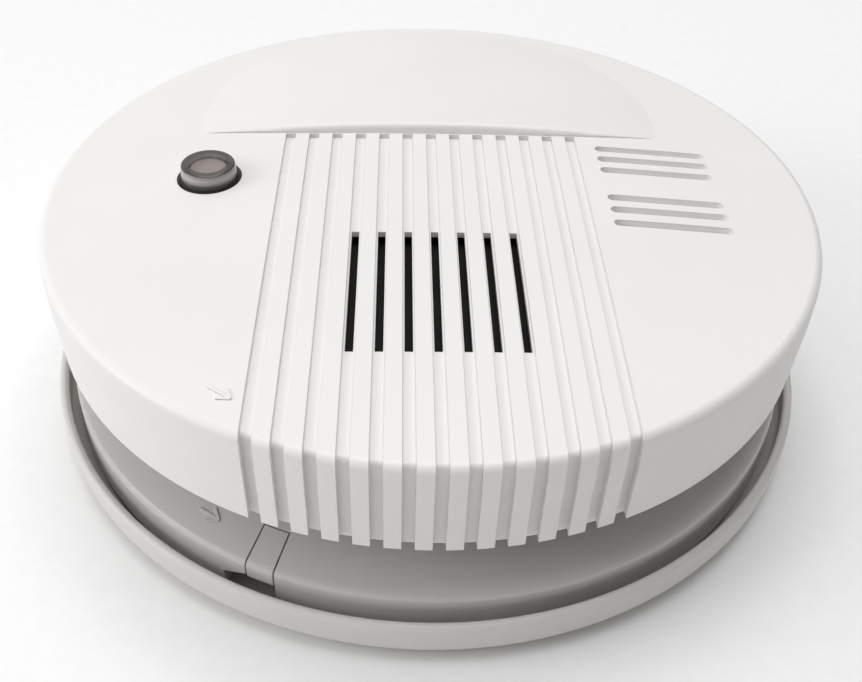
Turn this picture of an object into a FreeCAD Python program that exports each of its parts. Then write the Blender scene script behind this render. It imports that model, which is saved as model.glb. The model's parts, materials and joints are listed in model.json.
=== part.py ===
"""Smoke alarm: white ribbed cover and grey head on a twist-off mounting plate, with its working parts.

Frame: origin at the centre of the mounting plate's back face, +Z out of that face towards the
cover. The ribs of the cover run along Y and the release key is at the -Y side. Millimetres.
"""
import FreeCAD, Part

import math
import os

from FreeCAD import Vector

# Mounting plate
PLATE_R = 73.0
PLATE_FLOOR = 2.0
RIM_TOP = 8.8
RIM_WALL = 1.7
PLATE_EDGE = 4.8
CABLE_HOLE_R = 19.0
SCREW_SLOT_SPACING = 86.1
SCREW_SLOT_LENGTH = 7.6
SCREW_SLOT_WIDTH = 4.6

# Bayonet between the plate and the head
LUG_COUNT = 3
LUG_ANGLE = 12.0
SPIGOT_R = 58.0
SPIGOT_WALL = 2.0
LUG_R = 60.3
POST_R = 61.0
POST_WALL = 2.0
LIP_R = 58.7

# Grey head chassis
SKIRT_R = 69.5
SKIRT_FOOT = 3.8
SKIRT_EDGE = 1.2
SHELF_SLOPE = 23.3
NECK_R = 60.0
SHELF_NECK_Z = 15.65
NECK_TOP = 31.0
CHASSIS_WALL = 2.0
PAN_FLOOR = 9.0

# White cover
COVER_R = 70.3
COVER_TAPER = 0.55
COVER_FOOT = 24.0
COVER_TOP = 43.3
CROWN_R = 1700.0
COVER_WALL = 2.4
ROOF_WALL = 2.0
COVER_EDGE = 1.5
RIB_PITCH = 4.57
GROOVE_COUNT = 13
GROOVE_WIDTH = 1.95
GROOVE_DEPTH = 0.9
GROOVE_WALL_DEPTH = 1.4
STEP_Y = 17.7
STEP_RISE = 1.75
RISE_R = 415.0
CREST_EDGE = 1.2
STEP_LEAN = 18.0
SLOT_COUNT = 7
SLOT_WIDTH = 1.3
SLOT_Y = (-46.0, -15.0)
VENT_X = (31.9, 53.1)
VENT_WIDTH = 1.9
VENT_DEPTH = 1.2
VENT_ROWS_Y = (13.2, 9.4, 5.4, -4.1, -8.0, -12.2)
VENT_TURN = -4.9
CLIP_COUNT = 6
CLIP_ANGLE = 8.0

# Raised arrows that point towards the release key
ARROW_RISE = 0.2
ARROW_LINE = 0.45
COVER_ARROW = ((-33.9, -54.3), (-30.2, -56.9))
SHELF_ARROW = ((-38.4, -52.9), (-35.0, -55.3))

# Test button
BUTTON_X = -41.2
BUTTON_Y = 1.5
BUTTON_R = 5.35
BUTTON_HOLE_R = 5.95
BUTTON_DISC_R = 3.4
BUTTON_PROUD = 2.9

# Release key
KEY_ANGLE = -113.7
KEY_SPAN = 3.9
KEY_INNER_R = 63.2
KEY_FOOT = 8.5
KEY_GAP = 0.25
NOTCH_SPAN = 7.9
NOTCH_TOP = 9.0
NOTCH_END = 7.2

# Circuit board and what stands on it
BOARD_Z = 19.0
BOARD_T = 1.6
BOARD_R = 55.0
BOARD_TOP = BOARD_Z + BOARD_T
CHAMBER_Y = -29.0
CHAMBER_R = 24.5
CHAMBER_TOP = 39.6
SOUNDER_X = 42.5
SOUNDER_Y = 1.2
SOUNDER_R = 12.5

# 9 V block battery and its compartment in the chassis
BATTERY = (48.5, 26.5, 17.5)
BATTERY_Y = 37.2
BATTERY_Z = 11.4
BAY_WALL = 1.5
BAY_GAP = 0.6


def box(x0, x1, y0, y1, z0, z1):
    return Part.makeBox(x1 - x0, y1 - y0, z1 - z0, Vector(x0, y0, z0))


def rod(r, z0, z1, x=0.0, y=0.0):
    return Part.makeCylinder(r, z1 - z0, Vector(x, y, z0))


def tube(outer, inner, z0, z1, x=0.0, y=0.0):
    return rod(outer, z0, z1, x, y).cut(rod(inner, z0 - 1, z1 + 1, x, y))


def joined(shapes):
    first, rest = shapes[0], shapes[1:]
    if not rest:
        return first
    return first.fuse(rest).removeSplitter()


def turned(shape, angle, x=0.0, y=0.0):
    copy = shape.copy()
    copy.rotate(Vector(x, y, 0), Vector(0, 0, 1), angle)
    return copy


def ring_of(shape, count, start=0.0):
    return [turned(shape, start + i * 360.0 / count) for i in range(count)]


def wedge(profile, middle, span):
    """A closed (r, z) profile swept about Z over span degrees, centred on the angle middle."""
    wire = Part.makePolygon([Vector(r, 0, z) for r, z in profile + profile[:1]])
    solid = Part.Face(wire).revolve(Vector(), Vector(0, 0, 1), span)
    solid.rotate(Vector(), Vector(0, 0, 1), middle - span / 2.0)
    return solid


def sector(inner, outer, z0, z1, middle, span):
    return wedge([(inner, z0), (outer, z0), (outer, z1), (inner, z1)], middle, span)


def revolved(edges):
    return Part.Face(Part.Wire(edges)).revolve(Vector(), Vector(0, 0, 1), 360)


def line(a, b):
    return Part.makeLine(Vector(a[0], 0, a[1]), Vector(b[0], 0, b[1]))


def bend(a, through, b):
    points = [Vector(p[0], 0, p[1]) for p in (a, through, b)]
    return Part.Arc(*points).toShape()


def coil(radius, wire, z0, z1, turns, x, y):
    """A compression spring of eight-sided wire, with its ends one wire radius inside z0 and z1."""
    height = z1 - z0 - 2 * wire
    path = Part.makeHelix(height / turns, height, radius)
    path.translate(Vector(0, 0, z0 + wire))
    corners = []
    for step in range(9):
        angle = math.radians(45.0 * (step + 0.5))
        corners.append(Vector(radius + wire * math.cos(angle), 0, z0 + wire + wire * math.sin(angle)))
    section = Part.makePolygon(corners)
    spring = Part.Wire(path).makePipeShell([section], True, True)
    spring.translate(Vector(x, y, 0))
    return spring


def lead(x, y, z0, z1, r=0.3):
    return rod(r, z0, z1, x, y)


def arrow(tail, tip, head=2.2):
    """Upright prism in the outline of a plain line arrow."""
    length = math.hypot(tip[0] - tail[0], tip[1] - tail[1])
    angle = math.degrees(math.atan2(tip[1] - tail[1], tip[0] - tail[0]))
    half = ARROW_LINE / 2.0
    shaft = box(-length, 0, -half, half, 0, 60)
    barbs = [turned(box(-head, 0, -half, half, 0, 60), side * 32) for side in (-1, 1)]
    mark = turned(joined([shaft] + barbs), angle)
    mark.translate(Vector(tip[0], tip[1], 0))
    return mark


# ---------------------------------------------------------------- mounting plate


def plate_body():
    """Dished plate: rounded outer edge, upright rim with a rounded lip, sloping inner corner."""
    lip = RIM_WALL / 2.0
    edge = PLATE_EDGE
    inner = PLATE_R - RIM_WALL
    turn = math.radians(45)
    edge_middle = (PLATE_R - edge + edge * math.sin(turn), edge - edge * math.cos(turn))
    outline = [
        line((0, 0), (PLATE_R - edge, 0)),
        bend((PLATE_R - edge, 0), edge_middle, (PLATE_R, edge)),
        line((PLATE_R, edge), (PLATE_R, RIM_TOP - lip)),
        bend((PLATE_R, RIM_TOP - lip), (PLATE_R - lip, RIM_TOP), (inner, RIM_TOP - lip)),
        line((inner, RIM_TOP - lip), (inner, edge)),
        line((inner, edge), (inner - 2.3, PLATE_FLOOR)),
        line((inner - 2.3, PLATE_FLOOR), (0, PLATE_FLOOR)),
        line((0, PLATE_FLOOR), (0, 0)),
    ]
    return revolved(outline)


def bayonet_hook():
    """An upright post with an inward lip over the head's lug, and a stop at the locked end."""
    post = sector(POST_R, POST_R + POST_WALL, PLATE_FLOOR, 8.2, 0, LUG_ANGLE + 4)
    lip = sector(LIP_R, POST_R + 0.5, 5.6, 8.2, 0, LUG_ANGLE + 4)
    stop_middle = -(LUG_ANGLE / 2.0 + 1.4)
    stop = sector(LIP_R, POST_R + 0.5, PLATE_FLOOR, 6.0, stop_middle, 1.2)
    return joined([post, lip, stop])


def screw_slot(x):
    half = (SCREW_SLOT_LENGTH - SCREW_SLOT_WIDTH) / 2.0
    radius = SCREW_SLOT_WIDTH / 2.0
    middle = box(x - half, x + half, -radius, radius, -1, PLATE_FLOOR + 1)
    ends = [rod(radius, -1, PLATE_FLOOR + 1, x + side * half) for side in (-1, 1)]
    return joined([middle] + ends)


def mounting_plate():
    hooks = ring_of(bayonet_hook(), LUG_COUNT, 90)
    collar = tube(CABLE_HOLE_R + 1.6, CABLE_HOLE_R, 0, PLATE_FLOOR + 1.2)
    plate = plate_body().fuse(hooks + [collar])
    holes = [rod(CABLE_HOLE_R, -1, 9)]
    holes += [screw_slot(side * SCREW_SLOT_SPACING / 2.0) for side in (-1, 1)]
    return plate.cut(holes).removeSplitter()


# ---------------------------------------------------------------- head chassis


def shelf_height(radius):
    return SHELF_NECK_Z - (radius - NECK_R) * math.tan(math.radians(SHELF_SLOPE))


def skirt_ring(inner):
    """The skirt and its shelf as a ring from the radius inner outwards, open underneath."""
    wall = CHASSIS_WALL
    slope = math.radians(SHELF_SLOPE)
    reach = SKIRT_EDGE * math.tan((math.pi / 2 - slope) / 2)
    corner = shelf_height(SKIRT_R)
    start = (SKIRT_R, corner - reach)
    end = (SKIRT_R - reach * math.cos(slope), corner + reach * math.sin(slope))
    turn = (math.pi / 2 - slope) / 2
    middle = (SKIRT_R - SKIRT_EDGE * (1 - math.cos(turn)), corner - reach + SKIRT_EDGE * math.sin(turn))
    high = (inner, shelf_height(inner))
    under = (inner, high[1] - wall)
    bend_under = (SKIRT_R - wall, shelf_height(SKIRT_R - wall) - wall)
    foot = (SKIRT_R, SKIRT_FOOT)
    inner_foot = (SKIRT_R - wall, SKIRT_FOOT)
    return revolved([line(foot, start), bend(start, middle, end), line(end, high), line(high, under),
                     line(under, bend_under), line(bend_under, inner_foot), line(inner_foot, foot)])


def battery_bay():
    length, width, height = BATTERY
    half_x = length / 2.0 + BAY_GAP
    half_y = width / 2.0 + BAY_GAP
    top = BATTERY_Z + height + 1.0
    outside = box(-half_x - BAY_WALL, half_x + BAY_WALL, BATTERY_Y - half_y - BAY_WALL,
                  BATTERY_Y + half_y + BAY_WALL, PAN_FLOOR, top + BAY_WALL)
    inside = box(-half_x, half_x, BATTERY_Y - half_y, BATTERY_Y + half_y, PAN_FLOOR - 1, top)
    return outside, inside


def key_guides():
    """Two ribs beside the release key and the seat of its spring, below the shelf."""
    ribs = [sector(62.0, 67.0, 5.2, 11.4, KEY_ANGLE + side * 3.2, 0.6) for side in (-1, 1)]
    seat = sector(62.0, 67.0, 5.2, 6.4, KEY_ANGLE, 7.0)
    return joined(ribs + [seat])


def foot_notch(right):
    """Gap in the skirt's foot, from the angle right to beyond the key, its top falling at the far end."""
    foot = SKIRT_FOOT - 1
    half = SKIRT_R * math.sin(math.radians(NOTCH_SPAN / 2.0))
    outline = [(half, foot), (half, NOTCH_TOP), (0, NOTCH_TOP), (-half, NOTCH_END), (-half, foot)]
    corners = [Vector(67.3, along, z) for along, z in outline + outline[:1]]
    gap = Part.Face(Part.makePolygon(corners)).extrude(Vector(5, 0, 0))
    return turned(gap, right - NOTCH_SPAN / 2.0)


def key_openings():
    slot = sector(KEY_INNER_R - KEY_GAP, SKIRT_R + 1, KEY_FOOT - KEY_GAP, 16.0, KEY_ANGLE,
                  KEY_SPAN + 0.45)
    right = KEY_ANGLE + KEY_SPAN / 2.0 + 0.22
    below = sector(67.3, SKIRT_R + 1, SKIRT_FOOT - 1, KEY_FOOT, KEY_ANGLE, KEY_SPAN + 0.45)
    return [slot, foot_notch(right), below]


def board_posts():
    spots = [(-34.0, 33.0), (34.0, 33.0), (-34.0, -36.0), (34.0, -36.0)]
    return [rod(3.0, PAN_FLOOR + 1, BOARD_Z, x, y) for x, y in spots], spots


def chassis():
    outside, inside = battery_bay()
    wall = CHASSIS_WALL
    neck = tube(NECK_R, NECK_R - wall, PAN_FLOOR, NECK_TOP)
    pan = rod(NECK_R, PAN_FLOOR, PAN_FLOOR + wall)
    spigot = tube(SPIGOT_R, SPIGOT_R - SPIGOT_WALL, 3.2, PAN_FLOOR + 0.5)
    lugs = ring_of(sector(SPIGOT_R - 0.5, LUG_R, 3.2, 5.4, 0, LUG_ANGLE), LUG_COUNT, 90)
    posts, spots = board_posts()
    body = skirt_ring(NECK_R - 1.0).fuse([neck, pan, spigot, outside, key_guides()] + lugs + posts)
    raised = [(62, shelf_height(62) - 1), (67.5, shelf_height(67.5) - 1),
              (67.5, shelf_height(67.5) + ARROW_RISE), (62, shelf_height(62) + ARROW_RISE)]
    body = body.fuse(arrow(*SHELF_ARROW).common(wedge(raised, 0, 360)))
    windows = [sector(NECK_R - wall - 1, NECK_R + 1, NECK_TOP - 4.5, NECK_TOP - 2.5, angle, CLIP_ANGLE + 1)
               for angle in clip_angles()]
    pilots = [rod(0.9, PAN_FLOOR + 3, BOARD_Z + 1, x, y) for x, y in spots]
    cuts = [inside, battery_lead_gap()] + windows + pilots + key_openings()
    return body.cut(cuts).removeSplitter()


def battery_lead_gap():
    """Window in the bay's inner wall where the battery contacts pass to the circuit board."""
    inner = BATTERY_Y - BATTERY[1] / 2.0
    return box(-9, 9, inner - 6, inner, 14, 27)


# ---------------------------------------------------------------- white cover


def clip_angles():
    return [30 + i * 360.0 / CLIP_COUNT for i in range(CLIP_COUNT)]


def crown_height(radius):
    return COVER_TOP - CROWN_R + math.sqrt(CROWN_R ** 2 - radius ** 2)


def cover_block(side, above, edge):
    """The cover's slightly crowned disc, smaller by side at its wall and above at its roof."""
    radius = COVER_R - side
    rim = (radius, crown_height(radius) - above)
    middle = (radius / 2.0, crown_height(radius / 2.0) - above)
    foot = (radius - COVER_TAPER, COVER_FOOT)
    shoulder = (radius, COVER_FOOT + 11)
    top = (0, COVER_TOP - above)
    outline = [line((0, COVER_FOOT), foot), line(foot, shoulder), line(shoulder, rim),
               bend(rim, middle, top), line(top, (0, COVER_FOOT))]
    block = revolved(outline)
    rims = [e for e in block.Edges if e.BoundBox.ZMin > rim[1] - 0.1 and e.BoundBox.XLength > radius]
    return block.makeFillet(edge, rims)


def rear_rise():
    """Low domed rise behind the ribbed band: a leaning front wall under a shallow spherical top."""
    crest = COVER_TOP + STEP_RISE
    dome = Part.makeSphere(RISE_R, Vector(0, STEP_Y, crest - RISE_R))
    dome.rotate(Vector(0, STEP_Y, 0), Vector(0, 0, 1), -90)
    slab = box(-60, 60, STEP_Y, COVER_R + 5, COVER_TOP - 4, crest + 1)
    lean = Part.makeBox(140, 30, 30, Vector(-70, -30, -15))
    lean.rotate(Vector(), Vector(1, 0, 0), -STEP_LEAN)
    lean.translate(Vector(0, STEP_Y, COVER_TOP))
    rise = dome.common(slab).cut(lean)
    crown = [e for e in rise.Edges if e.BoundBox.XLength > 50 and e.BoundBox.ZMax > crest - 0.1
             and e.BoundBox.YMax < STEP_Y + 2]
    return rise.makeFillet(CREST_EDGE, crown)


def groove_cutters():
    core = cover_block(GROOVE_WALL_DEPTH, GROOVE_DEPTH, COVER_EDGE - 0.6)
    core = core.fuse(rod(COVER_R - COVER_TAPER - GROOVE_WALL_DEPTH, COVER_FOOT - 5, COVER_FOOT))
    half = GROOVE_WIDTH / 2.0
    slabs = []
    for i in range(GROOVE_COUNT):
        x = (i - (GROOVE_COUNT - 1) / 2.0) * RIB_PITCH
        slab = box(x - half, x + half, -COVER_R - 5, STEP_Y - 0.3, COVER_FOOT - 1, COVER_TOP + 1)
        slabs.append(slab.cut(core))
    return slabs


def smoke_slots():
    half = SLOT_WIDTH / 2.0
    slots = []
    for i in range(SLOT_COUNT):
        x = (i - (SLOT_COUNT - 1) / 2.0) * RIB_PITCH
        slots.append(box(x - half, x + half, SLOT_Y[0], SLOT_Y[1], COVER_TOP - 6, COVER_TOP + 3))
    return slots


def sound_grooves():
    """Round-ended shallow grooves over the sounder, following the slope of the roof."""
    radius = VENT_WIDTH / 2.0
    floor = cover_block(VENT_DEPTH, VENT_DEPTH, COVER_EDGE)
    grooves = []
    for y in VENT_ROWS_Y:
        ends = [rod(radius, 35, 47, x, y) for x in (VENT_X[0] + radius, VENT_X[1] - radius)]
        middle = box(VENT_X[0] + radius, VENT_X[1] - radius, y - radius, y + radius, 35, 47)
        groove = turned(joined(ends + [middle]), VENT_TURN, VENT_X[0], y)
        grooves.append(groove.cut(floor))
    return grooves


def cover_clip(angle):
    """Leg from the roof down past the neck, with a hook into the neck's window."""
    foot = NECK_TOP - 4.2
    leg = sector(NECK_R + 0.3, NECK_R + 2.1, foot, COVER_TOP, angle, CLIP_ANGLE)
    hook = sector(NECK_R - 1.2, NECK_R + 0.8, foot, foot + 1.4, angle, CLIP_ANGLE)
    return joined([leg, hook])


def front_cover():
    wall = COVER_WALL
    outer = cover_block(0.0, 0.0, COVER_EDGE)
    inner = cover_block(wall, ROOF_WALL, 1.0)
    below = rod(COVER_R - wall - COVER_TAPER, COVER_FOOT - 2, COVER_FOOT + 0.5)
    clips = [cover_clip(angle).common(outer) for angle in clip_angles()]
    rise = rear_rise().common(rod(COVER_R - 4, 0, 60))
    shell = outer.cut([inner, below]).fuse([rise.cut(inner)] + clips)
    button_hole = rod(BUTTON_HOLE_R, 30, 50, BUTTON_X, BUTTON_Y)
    guide = tube(BUTTON_HOLE_R + 1.2, BUTTON_HOLE_R, 35.5, 42.0, BUTTON_X, BUTTON_Y)
    raised = cover_block(-ARROW_RISE, -ARROW_RISE, COVER_EDGE).cut(cover_block(1.0, 1.0, COVER_EDGE))
    shell = shell.fuse(arrow(*COVER_ARROW).common(raised).common(rod(COVER_R - 2, 40, 50)))
    cuts = groove_cutters() + smoke_slots() + sound_grooves() + [button_hole]
    return shell.fuse(guide).cut(cuts).removeSplitter()


def button_top():
    return crown_height(math.hypot(BUTTON_X, BUTTON_Y)) + BUTTON_PROUD


# ---------------------------------------------------------------- test button


def button_lens():
    """Clear cap with a slight taper, hollow below for the plunger."""
    top = button_top()
    middle = Vector(BUTTON_X, BUTTON_Y, top - 4.5)
    cap = rod(BUTTON_R, 34.2, top - 4.5, BUTTON_X, BUTTON_Y)
    cap = cap.fuse(Part.makeCone(BUTTON_R, BUTTON_R - 0.45, 4.5, middle)).removeSplitter()
    cap = cap.makeFillet(0.4, [e for e in cap.Edges if e.BoundBox.ZMin > top - 0.1])
    flange = rod(BUTTON_R + 1.45, 34.2, 35.3, BUTTON_X, BUTTON_Y)
    hollow = rod(BUTTON_DISC_R + 0.05, 30, top - 0.9, BUTTON_X, BUTTON_Y)
    return cap.fuse(flange).cut(hollow).removeSplitter()


def button_plunger():
    """Pale disc seen through the lens, on a stem with a collar over the spring."""
    top = button_top() - 1.0
    head = rod(BUTTON_DISC_R, top - 1.6, top, BUTTON_X, BUTTON_Y)
    stem = rod(1.4, BOARD_TOP + 5.2, top - 1.5, BUTTON_X, BUTTON_Y)
    collar = rod(3.2, 30.5, 31.7, BUTTON_X, BUTTON_Y)
    carrier = rod(BUTTON_R, 33.0, 34.2, BUTTON_X, BUTTON_Y)
    return joined([head, stem, collar, carrier])


def button_spring():
    return coil(2.5, 0.25, BOARD_TOP + 5.0, 30.5, 4, BUTTON_X, BUTTON_Y)


def test_switch():
    body = box(BUTTON_X - 3, BUTTON_X + 3, BUTTON_Y - 3, BUTTON_Y + 3, BOARD_TOP, BOARD_TOP + 3.5)
    body = body.makeFillet(0.3, [e for e in body.Edges if e.BoundBox.ZLength > 3])
    rim = tube(3.0, 2.0, BOARD_TOP + 3.5, BOARD_TOP + 5.0, BUTTON_X, BUTTON_Y)
    cap = rod(1.7, BOARD_TOP + 3.5, BOARD_TOP + 4.0, BUTTON_X, BUTTON_Y)
    return joined([body, rim, cap])


def indicator_led():
    x, y = BUTTON_X + 1.0, BUTTON_Y + 8.5
    base = rod(1.9, BOARD_TOP + 4, BOARD_TOP + 5, x, y)
    body = rod(1.5, BOARD_TOP + 5, BOARD_TOP + 8, x, y)
    dome = Part.makeSphere(1.5, Vector(x, y, BOARD_TOP + 8))
    legs = [lead(x + side * 1.0, y, BOARD_Z - 1.2, BOARD_TOP + 4.2, 0.25) for side in (-1, 1)]
    return joined([base, body, dome] + legs)


# ---------------------------------------------------------------- release key


def key_block():
    """Cut of the skirt between the slot's sides, with a flange below that keeps the key in."""
    radius = KEY_INNER_R
    plate = skirt_ring(radius)
    window = sector(radius, SKIRT_R + 1, KEY_FOOT, 16, KEY_ANGLE, KEY_SPAN)
    plate = plate.common(window)
    block = sector(63.6, 66.4, 9.4, 12.2, KEY_ANGLE, KEY_SPAN - 0.4)
    flange = sector(63.8, 65.4, 9.4, 11.1, KEY_ANGLE, KEY_SPAN + 1.0)
    return joined([plate, block, flange])


def key_spring():
    angle = math.radians(KEY_ANGLE)
    reach = 65.0
    return coil(1.1, 0.22, 6.4, 9.4, 3, reach * math.cos(angle), reach * math.sin(angle))


# ---------------------------------------------------------------- circuit board


def board_outline():
    """Disc with its rear third cut away for the battery bay."""
    disc = rod(BOARD_R, BOARD_Z, BOARD_TOP)
    length, width, _ = BATTERY
    half_x = length / 2.0 + BAY_GAP + BAY_WALL + 0.6
    front = BATTERY_Y - width / 2.0 - BAY_GAP - BAY_WALL - 0.6
    return disc.cut(box(-half_x, half_x, front, 70, BOARD_Z - 1, BOARD_TOP + 1))


def circuit_board():
    spots = board_posts()[1]
    holes = [rod(1.25, BOARD_Z - 1, BOARD_TOP + 1, x, y) for x, y in spots]
    led_x, led_y = BUTTON_X + 1.0, BUTTON_Y + 8.5
    holes += [rod(0.3, BOARD_Z - 1, BOARD_TOP + 1, led_x + side, led_y) for side in (-1, 1)]
    holes += [rod(0.55, BOARD_Z - 1, BOARD_TOP + 1, x, y) for x, y in optic_leads()]
    holes += [rod(0.7, BOARD_Z - 1, BOARD_TOP + 1, x, y) for x, y in contact_feet()]
    return board_outline().cut(holes)


def board_screws():
    shapes = []
    for x, y in board_posts()[1]:
        head = rod(2.4, BOARD_TOP, BOARD_TOP + 1.8, x, y)
        head = head.makeFillet(0.7, [e for e in head.Edges if e.BoundBox.ZMin > BOARD_TOP + 1])
        shank = rod(0.85, BOARD_Z - 6, BOARD_TOP + 0.5, x, y)
        cross = joined([box(x - 1.3, x + 1.3, y - 0.25, y + 0.25, BOARD_TOP + 1, BOARD_TOP + 3),
                        box(x - 0.25, x + 0.25, y - 1.3, y + 1.3, BOARD_TOP + 1, BOARD_TOP + 3)])
        shapes.append(head.fuse(shank).cut(cross).removeSplitter())
    return Part.makeCompound(shapes)


def alarm_chip():
    x, y = 8.0, 6.0
    body = box(x - 10, x + 10, y - 3.2, y + 3.2, BOARD_TOP + 0.5, BOARD_TOP + 3.8)
    body = body.cut(rod(1.0, BOARD_TOP + 3.2, BOARD_TOP + 5, x - 10, y))
    pins = []
    for i in range(8):
        for side in (-1, 1):
            px = x + (i - 3.5) * 2.54
            pins.append(box(px - 0.5, px + 0.5, y + side * 3.6 - 0.6, y + side * 3.6 + 0.6,
                            BOARD_TOP, BOARD_TOP + 2.2))
    return body.fuse(pins).removeSplitter()


def capacitors():
    spots = [(-18.0, 7.0, 4.0, 11.0), (-27.0, 10.5, 3.15, 9.0), (-24.0, -3.5, 2.5, 7.0)]
    cans = []
    for x, y, radius, height in spots:
        can = rod(radius, BOARD_TOP, BOARD_TOP + height, x, y)
        top = [e for e in can.Edges if e.BoundBox.ZMin > BOARD_TOP + 1]
        can = can.makeFillet(0.4, top)
        bead = tube(radius + 0.5, radius - 0.35, BOARD_TOP + 1.4, BOARD_TOP + 2.0, x, y)
        cans.append(can.cut(bead))
    return Part.makeCompound(cans)


def resistors():
    shapes = []
    for i in range(5):
        x = 27.5
        y = -18.0 - i * 3.4
        body = box(x, x + 6, y - 1.0, y + 1.0, BOARD_TOP, BOARD_TOP + 2.0)
        shapes.append(body.makeFillet(0.6, [e for e in body.Edges if e.BoundBox.XLength > 5]))
    return Part.makeCompound(shapes)


# ---------------------------------------------------------------- smoke chamber


def optic_leads():
    """Lead centres of the emitter and the photodiode, which look across the chamber."""
    spots = []
    for angle in (200, 340):
        for side in (-1.27, 1.27):
            turn = math.radians(angle)
            x = 19.0 * math.cos(turn) - side * math.sin(turn)
            y = CHAMBER_Y + 19.0 * math.sin(turn) + side * math.cos(turn)
            spots.append((x, y))
    return spots


def chamber_base():
    floor = rod(CHAMBER_R, BOARD_TOP + 1.0, BOARD_TOP + 3.0, 0, CHAMBER_Y)
    feet = [rod(2.0, BOARD_TOP, BOARD_TOP + 1.5, 18 * sx, CHAMBER_Y + 12 * sy)
            for sx in (-1, 1) for sy in (-1, 1)]
    holders = []
    for angle in (200, 340):
        turn = math.radians(angle)
        x = 19.0 * math.cos(turn)
        y = CHAMBER_Y + 19.0 * math.sin(turn)
        block = box(-4.2, 4.2, -3.6, 3.6, BOARD_TOP + 2, BOARD_TOP + 11.5)
        block.rotate(Vector(), Vector(0, 0, 1), angle)
        block.translate(Vector(x, y, 0))
        holders.append(block)
    holes = [rod(0.6, BOARD_TOP - 1, BOARD_TOP + 9, x, y) for x, y in optic_leads()]
    seats = [emitter_seat(angle) for angle in (200, 340)]
    return floor.fuse(feet + holders).cut(holes + seats).removeSplitter()


def emitter_seat(angle):
    seat = Part.makeCylinder(2.7, 12, Vector(-8.0, 0, BOARD_TOP + 7.5), Vector(1, 0, 0))
    seat.rotate(Vector(), Vector(0, 0, 1), angle)
    turn = math.radians(angle)
    seat.translate(Vector(19.0 * math.cos(turn), CHAMBER_Y + 19.0 * math.sin(turn), 0))
    return seat


def optic_body(angle):
    """A 5 mm optical package lying along the chamber's radius, with two bent-down leads."""
    height = BOARD_TOP + 7.5
    body = Part.makeCylinder(2.5, 4.5, Vector(-1.0, 0, height), Vector(1, 0, 0))
    nose = Part.makeSphere(2.5, Vector(-1.0, 0, height))
    legs = [rod(0.3, BOARD_Z - 1.0, height, 0.0, side * 1.27) for side in (-1, 1)]
    optic = joined([body, nose] + legs)
    optic.rotate(Vector(), Vector(0, 0, 1), angle)
    turn = math.radians(angle)
    optic.translate(Vector(19.0 * math.cos(turn), CHAMBER_Y + 19.0 * math.sin(turn), 0))
    return optic


def chamber_labyrinth():
    """Ring of bent black vanes that lets smoke in and keeps light out."""
    floor = BOARD_TOP + 3.0
    top = CHAMBER_TOP - 1.5
    vanes = []
    count = 20
    for i in range(count):
        angle = i * 360.0 / count
        if min(abs(angle - 200), abs(angle - 340)) < 20:
            continue
        outer = box(20.0, 23.4, -0.5, 0.5, floor, top)
        outer.rotate(Vector(20.0, 0, 0), Vector(0, 0, 1), 35)
        inner = box(16.6, 20.4, -0.5, 0.5, floor, top)
        inner.rotate(Vector(20.0, 0, 0), Vector(0, 0, 1), -35)
        vane = joined([outer, inner])
        vane.rotate(Vector(), Vector(0, 0, 1), angle)
        vane.translate(Vector(0, CHAMBER_Y, 0))
        vanes.append(vane)
    ring = tube(22.6, 17.0, top, top + 0.5, 0, CHAMBER_Y)
    return ring.fuse(vanes).removeSplitter()


def chamber_lid():
    lid = rod(CHAMBER_R, CHAMBER_TOP - 1.0, CHAMBER_TOP, 0, CHAMBER_Y)
    return lid.makeFillet(0.6, [e for e in lid.Edges if e.BoundBox.ZMin > CHAMBER_TOP - 0.1])


def insect_screen():
    """Perforated strip around the labyrinth."""
    floor = BOARD_TOP + 3.0
    strip = tube(CHAMBER_R - 0.2, CHAMBER_R - 0.6, floor, CHAMBER_TOP - 1.0, 0, CHAMBER_Y)
    count = 60
    height = (CHAMBER_TOP - 1.0 - floor) - 3.0
    slit = box(CHAMBER_R - 1.5, CHAMBER_R + 1, -0.6, 0.6, floor + 1.5, floor + 1.5 + height)
    slits = []
    for i in range(count):
        copy = turned(slit, i * 360.0 / count)
        copy.translate(Vector(0, CHAMBER_Y, 0))
        slits.append(copy)
    return strip.cut(slits)


# ---------------------------------------------------------------- sounder


def sounder_housing():
    """Open resonator cup that holds the disc under the sound slots."""
    cup = tube(SOUNDER_R, SOUNDER_R - 1.4, 27.0, 37.0, SOUNDER_X, SOUNDER_Y)
    ledge = tube(SOUNDER_R - 1.0, SOUNDER_R - 3.0, 29.0, 30.0, SOUNDER_X, SOUNDER_Y)
    top = rod(SOUNDER_R, 36.0, 37.2, SOUNDER_X, SOUNDER_Y)
    mouth = rod(4.0, 35, 40, SOUNDER_X, SOUNDER_Y)
    legs = []
    for angle in (100, 180, 260):
        turn = math.radians(angle)
        legs.append(rod(1.6, BOARD_TOP, 27.5, SOUNDER_X + (SOUNDER_R - 0.9) * math.cos(turn),
                        SOUNDER_Y + (SOUNDER_R - 0.9) * math.sin(turn)))
    return joined([cup, ledge, top] + legs).cut(mouth).removeSplitter()


def sounder_disc():
    brass = rod(SOUNDER_R - 1.6, 28.6, 28.9, SOUNDER_X, SOUNDER_Y)
    ceramic = rod(7.5, 28.3, 28.6, SOUNDER_X, SOUNDER_Y)
    return joined([brass, ceramic])


def contact_feet():
    return [(SOUNDER_X + dx, SOUNDER_Y) for dx in (-8.6, -4.0, 5.0)]


def sounder_contacts():
    """Three sprung pins from the board to the disc: rim, electrode and feedback."""
    tops = (28.6, 28.3, 28.3)
    shapes = []
    for (x, y), top in zip(contact_feet(), tops):
        foot = rod(0.5, BOARD_Z - 1.0, BOARD_TOP + 0.6, x, y)
        post = rod(0.9, BOARD_TOP, top - 0.8, x, y)
        tip = Part.makeCone(0.9, 0.3, 0.8, Vector(x, y, top - 0.8))
        shapes.append(joined([foot, post, tip]))
    return Part.makeCompound(shapes)


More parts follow.
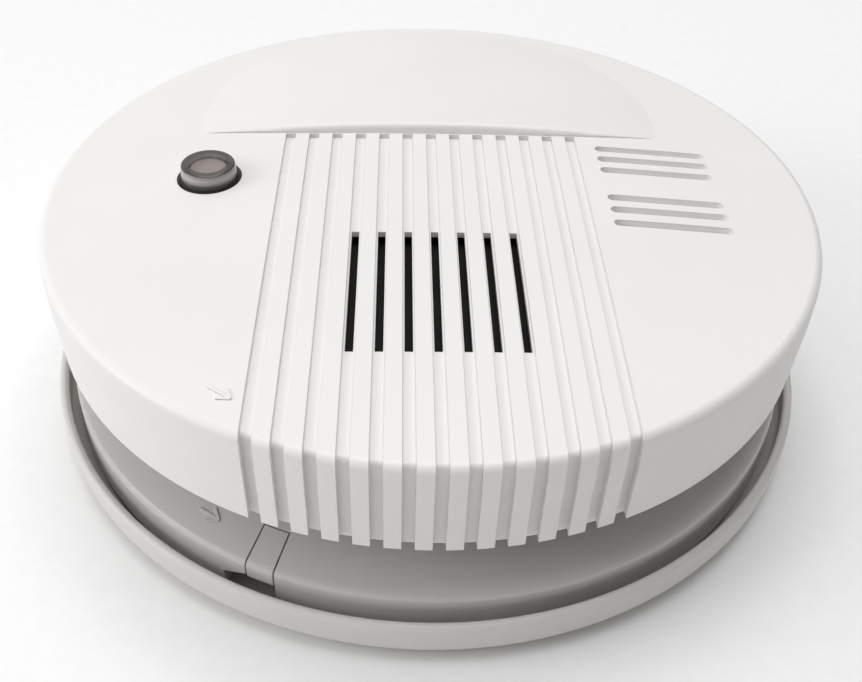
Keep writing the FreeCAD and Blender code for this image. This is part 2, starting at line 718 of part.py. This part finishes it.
# ---------------------------------------------------------------- battery


def battery():
    length, width, height = BATTERY
    case = box(-length / 2.0 + 2.2, length / 2.0, BATTERY_Y - width / 2.0, BATTERY_Y + width / 2.0,
               BATTERY_Z, BATTERY_Z + height)
    case = case.makeFillet(2.0, [e for e in case.Edges if e.BoundBox.XLength > 40])
    studs = [Part.makeCylinder(radius, 2.6, Vector(-length / 2.0 + 2.4, BATTERY_Y + side * 6.35,
             BATTERY_Z + height / 2.0), Vector(-1, 0, 0)) for side, radius in ((-1, 2.8), (1, 3.6))]
    return joined([case] + studs)


def battery_door():
    """Plate in the pan floor behind the battery, with a finger tab and two tongues."""
    length, width, _ = BATTERY
    half_x = length / 2.0 + BAY_GAP - 0.2
    half_y = width / 2.0 + BAY_GAP - 0.2
    plate = box(-half_x, half_x, BATTERY_Y - half_y, BATTERY_Y + half_y, PAN_FLOOR, PAN_FLOOR + 1.6)
    grip = box(half_x - 5, half_x - 2, BATTERY_Y - 6, BATTERY_Y + 6, PAN_FLOOR - 1, PAN_FLOOR + 0.8)
    ribs = [box(-half_x + 6, half_x - 8, BATTERY_Y + dy - 0.6, BATTERY_Y + dy + 0.6, PAN_FLOOR + 1,
                BATTERY_Z - 0.1) for dy in (-7, 7)]
    return joined([plate] + ribs).cut(grip)


NODES = {
    "mounting_plate": mounting_plate,
    "chassis": chassis,
    "front_cover": front_cover,
    "test_button_lens": button_lens,
    "button_plunger": button_plunger,
    "button_spring": button_spring,
    "test_switch": test_switch,
    "indicator_led": indicator_led,
    "release_key": key_block,
    "key_spring": key_spring,
    "circuit_board": circuit_board,
    "board_screws": board_screws,
    "alarm_chip": alarm_chip,
    "capacitors": capacitors,
    "resistors": resistors,
    "chamber_base": chamber_base,
    "chamber_labyrinth": chamber_labyrinth,
    "chamber_lid": chamber_lid,
    "insect_screen": insect_screen,
    "ir_emitter": lambda: optic_body(200),
    "photodiode": lambda: optic_body(340),
    "sounder_housing": sounder_housing,
    "sounder_disc": sounder_disc,
    "sounder_contacts": sounder_contacts,
    "battery": battery,
    "battery_door": battery_door,
}


def main():
    os.makedirs("parts", exist_ok=True)
    for name, make in NODES.items():
        shape = make()
        shape.exportStep("parts/" + name + ".step")
        print(name, len(shape.Solids), shape.isValid(), round(shape.Volume, 1))


main()
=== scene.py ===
import json
import math

import bpy
from mathutils import Matrix, Vector


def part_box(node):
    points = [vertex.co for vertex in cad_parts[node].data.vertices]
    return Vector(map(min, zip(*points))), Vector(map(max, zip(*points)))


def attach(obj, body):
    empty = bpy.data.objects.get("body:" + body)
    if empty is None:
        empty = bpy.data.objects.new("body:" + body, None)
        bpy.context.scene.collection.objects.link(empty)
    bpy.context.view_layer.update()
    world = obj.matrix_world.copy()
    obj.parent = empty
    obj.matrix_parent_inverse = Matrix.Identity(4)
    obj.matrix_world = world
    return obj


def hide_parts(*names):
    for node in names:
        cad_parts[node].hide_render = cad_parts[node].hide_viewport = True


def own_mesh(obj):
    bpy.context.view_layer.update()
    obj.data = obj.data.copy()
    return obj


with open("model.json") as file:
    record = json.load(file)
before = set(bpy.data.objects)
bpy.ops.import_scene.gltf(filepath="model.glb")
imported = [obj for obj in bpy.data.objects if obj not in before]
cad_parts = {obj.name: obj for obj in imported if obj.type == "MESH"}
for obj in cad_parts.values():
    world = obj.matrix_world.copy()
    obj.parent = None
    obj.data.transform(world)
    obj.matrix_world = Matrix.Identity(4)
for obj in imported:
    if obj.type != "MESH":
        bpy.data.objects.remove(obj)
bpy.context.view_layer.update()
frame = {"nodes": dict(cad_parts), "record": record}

MM = 0.001
scene = bpy.context.scene


# ---------------------------------------------------------------- materials

GRAIN_SCALE = 1600.0
GRAIN_HEIGHT = 0.03 * MM
BRUSH_SCALE = 500.0
BRUSH_STRETCH = (1.0, 1.0, 14.0)
WEAVE_SCALE = 700.0


class Nodes:
    """A material's node tree, with short ways to add and join nodes."""

    def __init__(self, name):
        self.material = bpy.data.materials.new(name)
        self.material.use_nodes = True
        self.tree = self.material.node_tree
        self.tree.nodes.clear()
        self.out = self.tree.nodes.new("ShaderNodeOutputMaterial")
        self.shader = self.tree.nodes.new("ShaderNodeBsdfPrincipled")
        self.join(self.shader, "BSDF", self.out, "Surface")
        self.place = self.tree.nodes.new("ShaderNodeTexCoord")

    def join(self, a, a_socket, b, b_socket):
        self.tree.links.new(a.outputs[a_socket], b.inputs[b_socket])

    def set(self, **values):
        for key, value in values.items():
            self.shader.inputs[key.replace("_", " ")].default_value = value

    def noise(self, scale, detail=3.0, rough=0.55, stretch=None):
        node = self.tree.nodes.new("ShaderNodeTexNoise")
        node.inputs["Scale"].default_value = scale
        node.inputs["Detail"].default_value = detail
        node.inputs["Roughness"].default_value = rough
        if stretch:
            mapping = self.tree.nodes.new("ShaderNodeMapping")
            mapping.inputs["Scale"].default_value = stretch
            self.join(self.place, "Object", mapping, "Vector")
            self.join(mapping, "Vector", node, "Vector")
        else:
            self.join(self.place, "Object", node, "Vector")
        return node

    def ramp(self, source, socket, stops):
        node = self.tree.nodes.new("ShaderNodeValToRGB")
        band = node.color_ramp
        while len(band.elements) < len(stops):
            band.elements.new(0.5)
        for element, (position, colour) in zip(band.elements, stops):
            element.position = position
            element.color = colour if len(colour) == 4 else (*colour, 1.0)
        self.join(source, socket, node, "Fac")
        return node

    def span(self, source, socket, low, high, out_low, out_high):
        node = self.tree.nodes.new("ShaderNodeMapRange")
        limits = {"From Min": low, "From Max": high, "To Min": out_low, "To Max": out_high}
        for key, value in limits.items():
            node.inputs[key].default_value = value
        self.join(source, socket, node, "Value")
        return node

    def vector(self, operation, source, socket, other=None):
        node = self.tree.nodes.new("ShaderNodeVectorMath")
        node.operation = operation
        self.join(source, socket, node, 0)
        if other is not None:
            node.inputs[1].default_value = other
        return node

    def soft_edges(self, radius):
        """Normals rounded over the moulding's corners."""
        node = self.tree.nodes.new("ShaderNodeBevel")
        node.samples = 6
        node.inputs["Radius"].default_value = radius
        return node

    def bump(self, source, socket, strength, distance, below=None):
        node = self.tree.nodes.new("ShaderNodeBump")
        node.inputs["Strength"].default_value = strength
        node.inputs["Distance"].default_value = distance
        self.join(source, socket, node, "Height")
        if below:
            self.join(below, "Normal", node, "Normal")
        self.join(node, "Normal", self.shader, "Normal")
        return node


def tint(colour, factor):
    return tuple(min(1.0, c * factor) for c in colour)


def moulded(name, colour, rough=0.42, grain_depth=0.35, cloud=0.03, corner=0.0):
    """Injection-moulded plastic: fine spark-eroded grain, faint cloudiness and handling marks."""
    m = Nodes(name)
    cloudiness = m.noise(28.0, 4.0)
    shades = [(0.30, tint(colour, 1.0 - cloud)), (0.70, tint(colour, 1.0 + cloud))]
    tones = m.ramp(cloudiness, "Fac", shades)
    m.join(tones, "Color", m.shader, "Base Color")
    marks = m.noise(60.0, 5.0, 0.65)
    m.join(m.span(marks, "Fac", 0.3, 0.7, rough - 0.05, rough + 0.07), "Result", m.shader, "Roughness")
    broad = m.noise(90.0, 2.0)
    lower = m.bump(broad, "Fac", 0.10, 0.06 * MM, m.soft_edges(corner) if corner else None)
    fine = m.noise(GRAIN_SCALE, 2.0, 0.6)
    m.bump(fine, "Fac", grain_depth, GRAIN_HEIGHT, lower)
    m.set(IOR=1.5)
    return m


def metal(name, colour, rough=0.3):
    """Bare metal with fine streaks around its height."""
    m = Nodes(name)
    streak = m.noise(BRUSH_SCALE, 3.0, 0.6, BRUSH_STRETCH)
    tones = m.ramp(streak, "Fac", [(0.25, tint(colour, 0.82)), (0.75, tint(colour, 1.10))])
    m.join(tones, "Color", m.shader, "Base Color")
    m.join(m.span(streak, "Fac", 0.3, 0.7, rough - 0.07, rough + 0.10), "Result", m.shader, "Roughness")
    m.bump(streak, "Fac", 0.15, GRAIN_HEIGHT)
    m.set(Metallic=1.0)
    return m


def smoked_lens_painted_light(name, axis, top, window, wall):
    """Smoked cap: a clear window, a dark ring round it that is painted shade of the gap beneath as well
    as smoke, and a side with a painted highlight near its top and painted shade below.
    """
    m = Nodes(name)
    offset = m.vector("SUBTRACT", m.place, "Object", axis)
    radius = m.vector("LENGTH", m.vector("MULTIPLY", offset, "Vector", (1.0, 1.0, 0.0)), "Vector")
    out = m.span(radius, "Value", 0.0, wall, 0.0, 1.0)
    edge = window / wall
    # Painted shade: the ring round the clear window is made nearly opaque and dark, standing in for the
    # shaded gap beneath as well as the smoked plastic.
    opacity = m.ramp(out, "Result", [
        (0.96 * edge, (LENS_CLEAR,) * 3), (1.06 * edge, (LENS_SHADE_RING_OPACITY,) * 3),
        (0.93, (LENS_SHADE_RING_OPACITY,) * 3), (0.98, (LENS_SIDE,) * 3)])
    m.join(opacity, "Color", m.shader, "Alpha")
    height = m.tree.nodes.new("ShaderNodeSeparateXYZ")
    m.join(m.place, "Object", height, "Vector")
    drop = m.span(height, "Z", top, top - LENS_HIGHLIGHT_BAND, 0.0, 1.0)
    # Painted highlight: the side is pale near its top and falls to the dark smoke colour lower down,
    # which paints shade there.
    side_highlight = m.ramp(drop, "Result", [(0.30, LENS_PAINTED_HIGHLIGHT), (0.62, LENS_SMOKE_AND_SHADE)])
    ring = m.ramp(out, "Result", [(0.90, (0.0,) * 3), (0.95, (1.0,) * 3)])
    mix = m.tree.nodes.new("ShaderNodeMix")
    mix.data_type = "RGBA"
    mix.inputs["A"].default_value = (*LENS_SMOKE_AND_SHADE, 1.0)
    m.join(ring, "Color", mix, "Factor")
    m.join(side_highlight, "Color", mix, "B")
    m.join(mix, "Result", m.shader, "Base Color")
    haze = m.noise(140.0, 3.0)
    m.join(m.span(haze, "Fac", 0.3, 0.7, 0.06, 0.12), "Result", m.shader, "Roughness")
    m.bump(haze, "Fac", 0.05, 0.04 * MM)
    m.set(IOR=1.5)
    return m


def laminate(name, colour):
    """Circuit board: solder resist with the weave of the glass cloth showing through."""
    m = Nodes(name)
    weave = m.tree.nodes.new("ShaderNodeTexWave")
    weave.inputs["Scale"].default_value = WEAVE_SCALE
    weave.inputs["Distortion"].default_value = 1.5
    m.join(m.place, "Object", weave, "Vector")
    cloud = m.noise(60.0, 3.0)
    tones = m.ramp(cloud, "Fac", [(0.3, tint(colour, 0.85)), (0.7, tint(colour, 1.12))])
    m.join(tones, "Color", m.shader, "Base Color")
    m.join(m.span(weave, "Fac", 0.0, 1.0, 0.26, 0.38), "Result", m.shader, "Roughness")
    m.bump(weave, "Fac", 0.12, GRAIN_HEIGHT)
    return m


COVER_WHITE = (0.83, 0.815, 0.80)
HEAD_GREY = (0.60, 0.575, 0.555)
PLATE_GREY = (0.70, 0.68, 0.66)
# Lens colours: dark smoke that also paints the shade of the ring and of the lower side, and a painted
# highlight band on the side near its top.
LENS_SMOKE_AND_SHADE = (0.075, 0.065, 0.06)
LENS_PAINTED_HIGHLIGHT = (0.88, 0.83, 0.81)
LENS_HIGHLIGHT_BAND = 3.4 * MM
LENS_WINDOW = 3.4 * MM
LENS_WALL = 5.35 * MM
LENS_CLEAR = 0.06
LENS_SHADE_RING_OPACITY = 0.85
LENS_SIDE = 0.85

lens_low, lens_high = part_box("test_button_lens")
lens_axis = (Vector(lens_low) + Vector(lens_high)) / 2.0

FINISH = {
    "cover_plastic": moulded("cover_white", COVER_WHITE, rough=0.42, cloud=0.012, corner=0.15 * MM),
    "chassis_plastic": moulded("head_grey", HEAD_GREY, rough=0.34, cloud=0.02, grain_depth=0.2,
                               corner=0.2 * MM),
    "plate_plastic": moulded("plate_grey", PLATE_GREY, rough=0.38, cloud=0.02, grain_depth=0.08),
    "lens_clear": smoked_lens_painted_light("smoked_lens_painted_light", lens_axis, lens_high[2], LENS_WINDOW, LENS_WALL),
    "plunger_plastic": moulded("plunger_pale", (0.36, 0.31, 0.29), rough=0.45),
    "spring_steel": metal("spring_wire", (0.60, 0.60, 0.61), rough=0.28),
    "switch_body": moulded("switch_black", (0.03, 0.03, 0.03), rough=0.5, cloud=0.1),
    "led_red": moulded("led_resin", (0.50, 0.05, 0.04), rough=0.15, cloud=0.04),
    "board_green": laminate("board_resist", (0.05, 0.20, 0.10)),
    "screw_steel": metal("screw_plated", (0.66, 0.66, 0.68), rough=0.25),
    "chip_black": moulded("chip_resin", (0.025, 0.025, 0.025), rough=0.55, cloud=0.1),
    "can_sleeve": metal("can_sleeve", (0.32, 0.34, 0.40), rough=0.35),
    "resistor_body": moulded("resistor_coat", (0.55, 0.45, 0.30), rough=0.35, cloud=0.06),
    "chamber_black": moulded("chamber_black", (0.004, 0.004, 0.004), rough=0.9, cloud=0.1),
    "screen_steel": metal("screen_steel", (0.34, 0.34, 0.35), rough=0.42),
    "emitter_clear": moulded("emitter_resin", (0.60, 0.63, 0.70), rough=0.12, cloud=0.02),
    "diode_dark": moulded("diode_resin", (0.03, 0.025, 0.05), rough=0.15, cloud=0.05),
    "sounder_plastic": moulded("sounder_black", (0.06, 0.06, 0.065), rough=0.5, cloud=0.08),
    "disc_brass": metal("disc_brass", (0.72, 0.55, 0.24), rough=0.3),
    "contact_brass": metal("contact_brass", (0.72, 0.55, 0.24), rough=0.22),
    "battery_case": metal("battery_jacket", (0.16, 0.17, 0.20), rough=0.35),
}

slot_of = {part["node"]: part["material_slot"] for part in frame["record"]["subparts"]}
for node, piece in frame["nodes"].items():
    piece.data.materials.clear()
    piece.data.materials.append(FINISH[slot_of[node]].material)


# ---------------------------------------------------------------- springs


def live_spring(node):
    """A copy of a CAD node's coil, attached to the head body, with the CAD node hidden."""
    piece = bpy.data.objects.new(node + "_coil", frame["nodes"][node].data.copy())
    scene.collection.objects.link(piece)
    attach(piece, "head")
    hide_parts(node)
    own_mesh(piece)


live_spring("button_spring")
live_spring("key_spring")


# ---------------------------------------------------------------- floor, light and camera


FLOOR_HALF = 3.0
LIGHT_AIM = Vector((0, 0, 0.02))


def floor():
    mesh = bpy.data.meshes.new("floor")
    half = FLOOR_HALF
    corners = [(-half, -half, 0), (half, -half, 0), (half, half, 0), (-half, half, 0)]
    mesh.from_pydata(corners, [], [(0, 1, 2, 3)])
    piece = bpy.data.objects.new("floor", mesh)
    scene.collection.objects.link(piece)
    m = Nodes("floor_paper")
    grain = m.noise(300.0, 3.0)
    tones = m.ramp(grain, "Fac", [(0.3, (0.89, 0.89, 0.89)), (0.7, (0.91, 0.91, 0.91))])
    m.join(tones, "Color", m.shader, "Base Color")
    m.set(Roughness=0.9)
    mesh.materials.append(m.material)


def area_light(name, place, size, power):
    data = bpy.data.lights.new(name, "AREA")
    data.shape = "RECTANGLE"
    data.size, data.size_y = size
    data.energy = power
    lamp = bpy.data.objects.new(name, data)
    scene.collection.objects.link(lamp)
    lamp.location = place
    lamp.rotation_mode = "QUATERNION"
    lamp.rotation_quaternion = (LIGHT_AIM - Vector(place)).to_track_quat("-Z", "Y")


SKY_AXIS = (-0.9, 0.35, 1.0)
SKY_EDGE = -0.15
SKY_LOW = 0.12
SKY_HIGH = 0.78


def studio():
    """Soft sky that is brightest up and to the left, with one low lamp at the left and one overhead."""
    world = bpy.data.worlds.new("soft_studio")
    world.use_nodes = True
    tree = world.node_tree
    sky = tree.nodes.new("ShaderNodeTexCoord")
    facing = tree.nodes.new("ShaderNodeVectorMath")
    facing.operation = "DOT_PRODUCT"
    facing.inputs[1].default_value = Vector(SKY_AXIS).normalized()
    tree.links.new(sky.outputs["Generated"], facing.inputs[0])
    glow = tree.nodes.new("ShaderNodeMapRange")
    limits = {"From Min": SKY_EDGE, "From Max": 1.0, "To Min": SKY_LOW, "To Max": SKY_HIGH}
    for key, value in limits.items():
        glow.inputs[key].default_value = value
    tree.links.new(facing.outputs["Value"], glow.inputs["Value"])
    tree.links.new(glow.outputs["Result"], tree.nodes["Background"].inputs["Strength"])
    tree.nodes["Background"].inputs["Color"].default_value = (1.0, 1.0, 1.0, 1.0)
    scene.world = world
    area_light("low_left", (-0.90, -0.20, 0.42), (0.5, 0.4), 2.8)
    area_light("top", (0.05, 0.20, 1.40), (0.9, 0.9), 10.2)
    scene.view_settings.view_transform = "Standard"


CAMERA_DISTANCE = 219.7 * MM
CAMERA_AIM = Vector((0.68, 0.0, 4.5)) * MM
CAMERA_TURN = math.radians(-2.42)
CAMERA_RISE = math.radians(40.6)
CAMERA_ROLL = math.radians(1.97)
CAMERA_SENSOR = 36.0
CAMERA_LENS = 44.02


def camera():
    """Camera over the front of the alarm, tipped slightly to one side."""
    data = bpy.data.cameras.new("camera")
    data.sensor_width = CAMERA_SENSOR
    data.lens = CAMERA_LENS
    data.clip_start, data.clip_end = 0.005, 20.0
    piece = bpy.data.objects.new("camera", data)
    scene.collection.objects.link(piece)
    turn, rise, roll = CAMERA_TURN, CAMERA_RISE, CAMERA_ROLL
    back = Vector((math.sin(turn) * math.cos(rise), -math.cos(turn) * math.cos(rise), math.sin(rise)))
    right = (-back).cross(Vector((0, 0, 1))).normalized()
    up = right.cross(-back)
    tilted_right = right * math.cos(roll) + up * math.sin(roll)
    tilted_up = up * math.cos(roll) - right * math.sin(roll)
    axes = Matrix((tilted_right, tilted_up, back)).transposed().to_4x4()
    piece.matrix_world = Matrix.Translation(CAMERA_AIM + back * CAMERA_DISTANCE) @ axes
    scene.camera = piece


floor()
studio()
camera()
